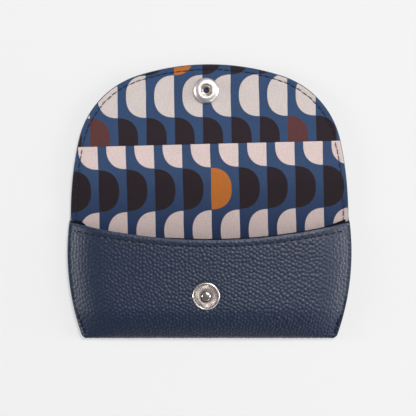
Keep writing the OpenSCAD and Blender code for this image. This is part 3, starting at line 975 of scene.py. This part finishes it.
def flap_net(inset):
    """Net of points over the upper half, from mid-spine to the tip (a Coons patch)."""
    edge = cut_edge(MID_SPINE_Y, PAST_TIP, inset)
    edge[-1, 0] = 0
    angles = np.arctan2(edge[:, 1] - CORNER_C[1], edge[:, 0] - CORNER_C[0])
    turn = int(np.argmin(np.abs(angles - math.radians(44))))
    flank, top = edge[:turn + 1], edge[turn:]
    cols = multiple(int(2 * edge[0, 0] / FLAP_SPACING))
    rows = multiple(int((edge[-1, 1] - MID_SPINE_Y) / FLAP_SPACING))
    right = resample(flank, rows)
    left = right * [-1, 1]
    crown = resample(np.concatenate([top * [-1, 1], top[::-1][1:]]), cols)
    foot = resample(np.array([left[0], right[0]]), cols)
    s = np.linspace(0, 1, cols)[None, :, None]
    t = np.linspace(0, 1, rows)[:, None, None]
    blend = (1 - t) * foot[None] + t * crown[None] + (1 - s) * left[:, None] + s * right[:, None]
    corners = ((1 - s) * (1 - t) * foot[0] + s * (1 - t) * foot[-1]
               + (1 - s) * t * crown[0] + s * t * crown[-1])
    return blend - corners


def raised(flat, z):
    """Flat points as places in space, a height z above the layers' lifted base."""
    return np.concatenate([flat, (z + lift(flat[..., 1]))[..., None]], -1)


def edge_distance(flat):
    """Distance of points from the outline, near enough to it."""
    edge = right_edge()[::3]
    x, y = np.abs(flat[..., 0]).ravel(), flat[..., 1].ravel()
    best = np.full(x.shape, 1e9)
    for ex, ey in edge:
        best = np.minimum(best, (x - ex) ** 2 + (y - ey) ** 2)
    return np.sqrt(best).reshape(flat.shape[:-1])


def hide_upper():
    """Half the spine and the flap; its grained side lies underneath."""
    flat = flap_net(FLAP_HIDE_INSET)
    x, y = flat[..., 0], flat[..., 1]
    plane = flat + np.array([0, UNROLLED_FLAP])
    grain = pebbles(x * 1.04, plane[..., 1])  # about as far across as the front's grain
    relief = GRAIN_DEPTH * (1 - grain) * smoothstep(edge_distance(flat) / 0.8)
    relief += stitch_dip(x, y, FLAP_SEAM, 0.15, 0.25)
    relief += 0.1 * bell((np.hypot(x - SNAP_X, y - SOCKET_Y) - 6.0) / 0.6)  # round the cap
    inner = raised(flat, LEATHER_T)[::NET_STEP, ::NET_STEP]
    return add_slab("hide_upper", raised(flat, relief), inner, NET_STEP, NET_STEP,
                    [LEATHER, SUEDE, EDGE_PAINT], plane, [("grain", grain)])


# ---- painted edges ---------------------------------------------------------
BEAD_SPACING, BEAD_SHARP = 0.5, 80
FREE_EDGE_Y = 0.9  # where the side edges' paint begins, above the bottom fold
BEAD_TOP = POCKET_Z + 0.04
MOUTH_T = 1.95  # leather and lining together


def edge_profile(top):
    """Rounded section of the painted edge, from underneath round to the lining."""
    return np.array([
        [-0.62, 0.03], [-0.30, 0.03], [-0.08, 0.12], [0.04, 0.38], [0.09, 0.8 * top / 2],
        [0.09, top * 0.62], [0.06, top - 0.30], [0.01, top - 0.12], [-0.08, top - 0.01],
        [-0.18, top + 0.03], [-0.29, top + 0.01], [-0.34, top - 0.12]])


def outward(path):
    """Unit normals in the plane, to the right of the way along a path."""
    along = np.gradient(path, axis=0)
    along /= np.linalg.norm(along, axis=1, keepdims=True)
    return np.stack([along[:, 1], -along[:, 0]], 1)


def bead(path, top):
    """A painted edge along a flat path, as high as top (one value a point)."""
    normal = outward(path)
    base = np.concatenate([path, lift(path[:, 1])[:, None]], 1)
    across = np.concatenate([normal, np.zeros((len(path), 1))], 1)
    up = np.tile([0.0, 0.0, 1.0], (len(path), 1))
    profiles = np.stack([edge_profile(h) for h in top])
    return sweep(base, across, up, profiles)


def even_path(points):
    return resample(points, int(lengths_along(points)[-1] / BEAD_SPACING) + 2)


def edge_lower():
    """Painted edges of the pouch's two sides and of the back's free edge."""
    right = even_path(cut_edge(FREE_EDGE_Y, MID_SPINE_Y))
    y = right[:, 1]
    seam_top = 2 * LEATHER_T + 0.02
    top = seam_top + (BEAD_TOP - seam_top) * smoothstep((y - MOUTH_SIDE_Y + 1.0) / 2.0)
    top *= 0.80 + 0.20 * smoothstep((y - FREE_EDGE_Y) / 1.6)
    verts, faces = bead(right, top)
    both = join_parts([(verts, faces), (verts * [-1, 1, 1], [f[::-1] for f in faces])])
    return add_piece("edge_lower", *both, [EDGE_PAINT], sharp=BEAD_SHARP)


def edge_upper():
    """Painted edge round the flap."""
    half = cut_edge(MID_SPINE_Y, PAST_TIP)
    half[-1, 0] = 0
    path = even_path(np.concatenate([half, half[::-1][1:] * [-1, 1]]))
    return add_piece("edge_upper", *bead(path, np.full(len(path), BEAD_TOP)), [EDGE_PAINT], sharp=BEAD_SHARP)


def mouth_edge():
    """Painted edge along the mouth, over the front's leather and lining."""
    u = even_columns(260)[0]
    u = u[np.abs(u) < 0.995]
    v = np.full(u.shape, MOUTH_SIDE_Y)
    top = front_point(u, v)
    inside = front_point(u, v - 0.5)
    along = np.gradient(top, axis=0)
    along /= np.linalg.norm(along, axis=1, keepdims=True)
    out = top - inside
    out -= along * np.einsum("ij,ij->i", out, along)[:, None]
    out /= np.linalg.norm(out, axis=1, keepdims=True)
    normal = np.cross(along, out)
    normal *= np.sign(normal[:, 2:3])
    section = np.array([
        [-0.75, -0.40], [-0.46, -0.14], [-0.18, -0.10], [0.04, -0.22], [0.15, -0.52], [0.17, -1.0],
        [0.10, -1.55], [-0.10, 0.08 - MOUTH_T], [-0.4, -MOUTH_T], [-0.75, -MOUTH_T], [-0.8, -1.6],
        [-0.8, -0.7]])
    thin = np.clip((top[:, 2] - 1.45) / MOUTH_T, 0.3, 1.0)
    profiles = section[None] * np.stack([np.ones(len(u)), thin], 1)[:, None, :]
    return add_piece("mouth_edge", *sweep(top, out, normal, profiles), [EDGE_PAINT], sharp=BEAD_SHARP)


# ---- layers ----------------------------------------------------------------
def band_net(y0):
    """Net over the back up to mid-spine; below the mouth it is inset further, to lie
    inside the pouch."""
    rows = multiple(int((MID_SPINE_Y - y0) / BAND_SPACING))
    cols = multiple(int(POUCH_W / BAND_SPACING))
    y = np.linspace(y0, MID_SPINE_Y, rows)
    inner = half_width(np.maximum(y, INNER_INSET), INNER_INSET)
    width = inner + (half_width(y, LAYER_INSET) - inner) * smoothstep((y - MOUTH_SIDE_Y + 0.8) / 1.6)
    u = np.linspace(-1, 1, cols)
    return np.stack([u[None, :] * width[:, None], np.broadcast_to(y[:, None], (rows, cols))], -1)


ripple_rng = np.random.default_rng(3)
RIPPLES = list(zip(*(ripple_rng.uniform(low, high, 9)
                     for low, high in ((0.03, 0.13), (-0.10, 0.10), (0, 6.28)))))


def ripples(flat, size):
    """Slight unevenness of cloth glued down by hand."""
    x, y = flat[..., 0], flat[..., 1]
    return size * sum(np.sin(a * x * 3 + b * y * 3 + p) for a, b, p in RIPPLES) / len(RIPPLES)


def layer_piece(name, flat, z0, z1, material, seam=(), step=NET_STEP, wave=0.0, shape=None):
    """One flat layer between heights z0 and z1 above the pouch's own back."""
    top = z1 - stitch_dip(flat[..., 0], flat[..., 1], seam, 0.10, 0.16) + ripples(flat, wave)
    base = np.full(flat.shape[:2], z0)
    if shape is not None:
        top, base = shape(flat, top, base)
    inner = raised(flat, base)[::step, ::step]
    return add_slab(name, raised(flat, top), inner, step, step, [material] * 3, flat, sharp=60)


def pocket_top(x):
    """Height of the slip pocket's tilted edge."""
    return POCKET_TOP_Y + x * math.tan(POCKET_TILT)


def pocket_net():
    """The slip pocket above mid-spine, up to its straight, slightly tilted edge."""
    rows = multiple(int((POCKET_TOP_Y - MID_SPINE_Y) / FLAP_SPACING))
    cols = multiple(int(POUCH_W / FLAP_SPACING))
    t = np.linspace(0, 1, rows)[:, None]
    u = np.linspace(-1, 1, cols)[None, :]
    x = u * 57.0
    for _ in range(4):
        y = MID_SPINE_Y + t * (pocket_top(x) - MID_SPINE_Y)
        x = u * half_width(y, LAYER_INSET)
    return np.stack([x, y], -1)


def pocket_shape(flat, top, base):
    """The pocket's folded hem: a rounded edge that stands a little off the lining."""
    x, y = flat[..., 0], flat[..., 1]
    below = pocket_top(x) - y
    free = smoothstep((half_width(y, LAYER_INSET) - np.abs(x) - 2.0) / 14)
    stand = 0.30 * free * bell(below / 7)
    roll = 0.10 * bell((below - 1.0) / 1.2) - 0.26 * bell(below / 0.28)
    return top + stand + roll, base + stand * smoothstep((4 - below) / 4)


# ---- snap ------------------------------------------------------------------
STUD_SEGMENTS, SEGMENTS, KNURLS = 384, 128, 44


def radii(verts):
    return np.hypot(verts[:, 0], verts[:, 1])


def snap_part(name, y, z, verts, faces, materials, finish=None, recess_shade=None):
    """A turned part set down on the snap's line at a height y."""
    # the painted shade of the part's hollows, if given, rides on its points
    attributes = [] if recess_shade is None else [("recess_shade", recess_shade)]
    return add_piece(name, verts + np.array([SNAP_X, y, z]), faces, materials, finish,
                     attributes=attributes, sharp=40)


def stud():
    """Flanged dish with a polished raised rim, radial knurling and a ball-headed post.
    Its hollows carry painted shade.
    """
    profile = [
        (0.95, 0.0), (3.0, -0.02), (5.45, -0.02), (5.72, 0.12), (5.76, 0.42), (5.66, 0.72), (5.42, 0.88),
        (5.20, 0.88), (5.04, 0.74), (4.92, 0.52), (4.70, 0.42), (4.1, 0.38), (3.4, 0.34), (2.7, 0.30),
        (2.2, 0.30), (1.9, 0.36), (1.60, 0.66), (1.44, 1.1), (1.42, 1.5), (1.50, 1.74), (1.72, 1.92),
        (1.84, 2.12), (1.80, 2.34), (1.58, 2.53), (1.18, 2.65), (0.6, 2.70), (0.0, 2.70)]
    closed = np.concatenate([smooth_profile(profile, 4), [(0.0, 2.1), (0.95, 2.1)]])

    def knurl(r, a, z):
        window = smoothstep((r - 3.2) / 0.5) * (1 - smoothstep((r - 4.6) / 0.3)) * (z > 0.1)
        return 0.10 * window * np.cos(KNURLS * a)

    verts, faces = lathe(closed, STUD_SEGMENTS, knurl)
    radius = radii(verts)
    # painted shade: darker under the ball and in the groove inside the rim
    recess_shade = 0.85 * bell((radius - 2.0) / 0.5) * (verts[:, 2] < 1.9) * (verts[:, 2] > 0.1)
    recess_shade = np.maximum(recess_shade, 0.5 * bell((radius - 4.75) / 0.25) * (verts[:, 2] > 0.1))
    finish = []
    for face in faces:
        nearest = min(radius[i] for i in face)
        on_ball = nearest < 1.8 and min(verts[i][2] for i in face) > 1.7
        finish.append(1 if nearest > 4.9 else 2 if on_ball else 0)
    return snap_part("stud", STUD_Y, SEAT_Z, verts, faces, [SHADED_NICKEL, RIM_NICKEL, POST_NICKEL],
                     finish, recess_shade)


def socket():
    """Domed ring with a funnel mouth; the spring's groove lies inside."""
    outside = [(5.3, 0.0), (5.48, 0.12), (5.5, 0.45), (5.42, 0.85), (5.2, 1.28), (4.75, 1.72), (4.2, 2.0),
               (3.6, 2.16), (3.1, 2.2), (2.78, 2.16), (2.58, 2.04), (2.4, 1.95), (2.2, 1.91)]
    inside = [(2.16, 1.87), (2.35, 1.84), (2.35, 1.35), (2.0, 1.33), (2.0, 0.35), (1.55, 0.35),
              (1.55, 0.0)]
    closed = np.concatenate([smooth_profile(outside, 5), inside])
    verts, faces = lathe(closed, SEGMENTS)
    radius = radii(verts)
    # painted shade: darker at the funnel's lip and round the dome's foot
    recess_shade = 0.85 * bell((radius - 2.42) / 0.16) + 0.4 * bell((radius - 5.45) / 0.12)
    return snap_part("socket", SOCKET_Y, POCKET_Z + FLAP_Z, verts, faces, [NICKEL], recess_shade=recess_shade)


def cap():
    """Outside cap, and the tube that rivets it to the socket."""
    dome = [(0.0, 0.0), (2.5, 0.02), (4.4, 0.10), (5.5, 0.27), (6.05, 0.5), (6.2, 0.68), (6.14, 0.8)]
    tube = [(1.5, 0.8), (1.5, 3.15), (1.78, 3.17), (1.8, 3.3), (1.66, 3.4), (1.4, 3.4), (1.22, 3.26),
            (1.2, 0.6), (0.0, 0.6)]
    closed = np.concatenate([smooth_profile(dome, 5), tube])
    verts, faces = lathe(closed, SEGMENTS)
    heights = [verts[f, 2] for f in faces]
    on_tube = [int(h.min() > 0.55 and h.max() > 0.9) for h in heights]
    return snap_part("cap", SOCKET_Y, 0.0, verts, faces, [NICKEL, BRASS], on_tube)


# ---- pouch inside ----------------------------------------------------------
FRONT_BOARD_Z, FRONT_CLOTH_Z = LEATHER_T + BOARD_T, LEATHER_T + BOARD_T + LINING_T  # depths
CRESCENT = 1.7  # how far the lining peeks out at most: a dark sheet standing in for the shade in the mouth's corners (painted shade)


def front_shell(name, depth0, depth1, reach, material, crescent=0.0):
    """A layer inside the front, between two depths under the leather's surface. A
    crescent of it peeks past the lip, mostly in the mouth's corners, where it stands
    in for the shade inside the mouth (painted shade)."""
    step, spacing = 2, 1.4
    cols = multiple(int(POUCH_W / spacing), step)
    rows = multiple(int(44 / spacing), step)
    u = np.linspace(-reach, reach, cols)
    v = np.linspace(6.0, MOUTH_SIDE_Y - 0.05, rows)
    uu, vv = np.meshgrid(u, v)
    net = front_point(uu, vv)
    if crescent:
        x = net[..., 0]
        right = np.clip((x - 44) / 14, 0, 1) ** 1.2
        left = smoothstep((-x - 51.5) / 4) * (1 - 0.35 * smoothstep((-x - 55.5) / 2.5))
        line = 0.35 * smoothstep((x + 28) / 14)
        net[..., 1] += crescent * np.maximum(line, right + left) * smoothstep((vv - 44) / 5)
    normals = normals_of(net, rows // 2)
    outer = net - normals * depth0
    inner = (net - normals * depth1)[::step, ::step]
    low = STACK_Z + 0.02
    outer[..., 2] = np.maximum(outer[..., 2], low + depth1 - depth0)
    inner[..., 2] = np.maximum(inner[..., 2], low)
    return add_slab(name, outer, inner, step, step, [material] * 3, net[..., :2], sharp=60)


# ---- building --------------------------------------------------------------
THREAD_SINK, OUTSIDE_Z = 0.08, 0.30


def lower(piece, slot, *nodes):
    """Bakes a piece that runs from the pouch to mid-spine into place, and hides the CAD nodes it stands for.
    """
    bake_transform(piece)
    file_piece(nodes)


def upper(piece, slot, *nodes):
    """Bakes a piece that runs from mid-spine over the flap into place, and hides the CAD nodes it stands
    for.
    """
    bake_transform(piece)
    file_piece(nodes)


def riding(piece, body, slot, *nodes):
    """Hangs a piece on the empty of the body that carries it, and hides the CAD nodes it stands for."""
    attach(piece, body)
    file_piece(nodes)


def file_piece(nodes):
    if nodes:
        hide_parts(*nodes)


def build_layers():
    """Boards, linings and slip pocket, in halves that meet at mid-spine."""
    low_net, low_pocket_net = band_net(INNER_FOOT_Y), band_net(POCKET_FOOT_Y)
    top_net = flap_net(LAYER_INSET)
    boards = [("board_lower", low_net, lower, "back_stiffener"),
              ("board_upper", top_net, upper, "flap_stiffener")]
    for name, net, file_half, part in boards:
        coarse = net[::NET_STEP, ::NET_STEP]
        board = layer_piece(name, coarse, BOARD_Z, LINING_Z, BOARD, step=1)
        file_half(board, "board", part, "fold_interlining")

    lining_low = layer_piece("lining_lower", low_net[::2, ::2], LINING_Z, POCKET_Z, FLAP_PRINT, step=1)
    lower(lining_low, "printed_lining", "back_lining", "fold_lining")
    lining_up = layer_piece("lining_upper", top_net, LINING_Z, POCKET_Z, FLAP_PRINT, FLAP_SEAM, wave=0.05)
    upper(lining_up, "printed_lining", "flap_lining", "fold_lining")
    pocket_low = layer_piece("pocket_lower", low_pocket_net, POCKET_Z, STACK_Z, POCKET_PRINT, LOW_SEAM,
                             wave=0.04)
    lower(pocket_low, "printed_lining", "slip_pocket_lower", "slip_pocket_fold")
    pocket_up = layer_piece("pocket_upper", pocket_net(), POCKET_Z, STACK_Z, POCKET_PRINT, FLAP_SEAM,
                            wave=0.05, shape=pocket_shape)
    upper(pocket_up, "printed_lining", "slip_pocket_upper", "slip_pocket_fold")


def threads(name, parts):
    """Stitches as one piece."""
    return add_piece(name, *join_parts(parts), [THREAD])


def build_threads():
    """All the stitching; the flat stitches also show on the outside."""
    above = [s for s in FLAP_SEAM if s[1] > pocket_top(s[0]) + 0.2]
    below = [s for s in FLAP_SEAM if s[1] <= pocket_top(s[0]) + 0.2]
    on_lining, on_pocket = POCKET_Z - THREAD_SINK, STACK_Z - THREAD_SINK
    parts = flat_stitches(above, on_lining) + flat_stitches(below, on_pocket)
    parts += flat_stitches(FLAP_SEAM, OUTSIDE_Z, -1.0)
    upper(threads("edge_thread_upper", parts), "thread", "flap_edge_thread", "fold_edge_thread")
    parts = flat_stitches(LOW_SEAM, on_pocket) + flat_stitches(LOW_SEAM, OUTSIDE_Z, -1.0)
    lower(threads("edge_thread_lower", parts), "thread", "back_edge_thread", "fold_edge_thread")
    for side, label in ((-1, "left"), (1, "right")):
        seam = SEAM_STITCHES[side]
        parts = front_stitches(seam, 0.10, 0.32) + flat_stitches(seam, OUTSIDE_Z, -1.0)
        riding(threads(f"{label}_seam", parts), "pouch", "thread", f"{label}_seam_thread")
    parts = front_stitches(MOUTH_STITCHES, 0.08, length=2.0, radius=0.25, rise=0.08)
    riding(threads("mouth_stitching", parts), "pouch", "thread", "mouth_thread")


lower(hide_lower(), "navy_leather", "front_leather", "back_leather", "fold_leather")
upper(hide_upper(), "navy_leather", "flap_leather", "fold_leather")
lower(edge_lower(), "navy_leather")
upper(edge_upper(), "navy_leather")
riding(mouth_edge(), "pouch", "navy_leather")
build_layers()
build_threads()
front_board = front_shell("front_board", LEATHER_T, FRONT_BOARD_Z, 0.9, BOARD)
riding(front_board, "pouch", "board", "front_interlining")
front_cloth = front_shell("front_cloth", FRONT_BOARD_Z, FRONT_CLOTH_Z, 0.985, DARK_CLOTH, CRESCENT)
riding(front_cloth, "pouch", "inner_cloth", "front_lining")
riding(stud(), "pouch", "nickel", "snap_stud")
riding(socket(), "flap", "nickel", "snap_socket")
riding(cap(), "flap", "nickel", "snap_cap")


def recolour(node_name, material):
    """A better finish for a CAD node that keeps its own shape."""
    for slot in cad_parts[node_name].material_slots:
        slot.material = material


recolour("snap_spring", BRASS)
recolour("stud_eyelet", BRASS)


# ---- floor, light, camera ---------------------------------------------------
def add_floor():
    """A wide sheet just under the holder."""
    mesh = bpy.data.meshes.new("floor")
    half = 3.0
    corners = [(-half, -half, 0), (half, -half, 0), (half, half, 0), (-half, half, 0)]
    mesh.from_pydata(corners, [], [(0, 1, 2, 3)])
    mesh.materials.append(pale_floor())
    floor = bpy.data.objects.new("floor", mesh)
    floor.location.z = -0.0001
    bpy.context.scene.collection.objects.link(floor)


def add_light(name, place, size, power):
    """A round softbox that faces the holder."""
    light = bpy.data.lights.new(name, "AREA")
    light.shape = "DISK"
    light.size = size
    light.energy = power
    lamp = bpy.data.objects.new(name, light)
    lamp.location = place
    lamp.rotation_euler = (-Vector(place)).to_track_quat("-Z", "Y").to_euler()
    bpy.context.scene.collection.objects.link(lamp)


def add_world(overhead, around):
    """Studio surroundings: pale walls around, a dimmer ceiling."""
    world = bpy.data.worlds.new("studio")
    world.use_nodes = True
    tree = world.node_tree
    height = given(tree, "ShaderNodeTexCoord", "Generated").axes()[2]
    level = height.ramp(0.15, 0.92, around, overhead)
    background = tree.nodes["Background"]
    background.inputs["Color"].default_value = (1, 1, 1, 1)
    tree.links.new(level.socket, background.inputs["Strength"])
    bpy.context.scene.world = world


def add_camera():
    """Straight down, as the photograph was taken."""
    view_width, height, sensor = 176.4 * MM, 0.70, 36.0
    data = bpy.data.cameras.new("camera")
    data.sensor_width = sensor
    data.lens = sensor * height / view_width
    camera = bpy.data.objects.new("camera", data)
    camera.location = (-0.64 * MM, -2.8 * MM, height)
    bpy.context.scene.collection.objects.link(camera)
    bpy.context.scene.camera = camera


add_floor()
add_light("key", (0.64, 0.98, 2.08), 0.76, 48.4)
add_light("left", (-1.60, 0.0, 0.42), 0.6, 14.5)
add_light("right", (1.55, 0.0, 0.44), 0.9, 19.0)
add_light("front", (0.85, -1.20, 0.60), 0.6, 3.0)
add_world(0.13, 0.28)
add_camera()
bpy.context.scene.view_settings.view_transform = "Standard"
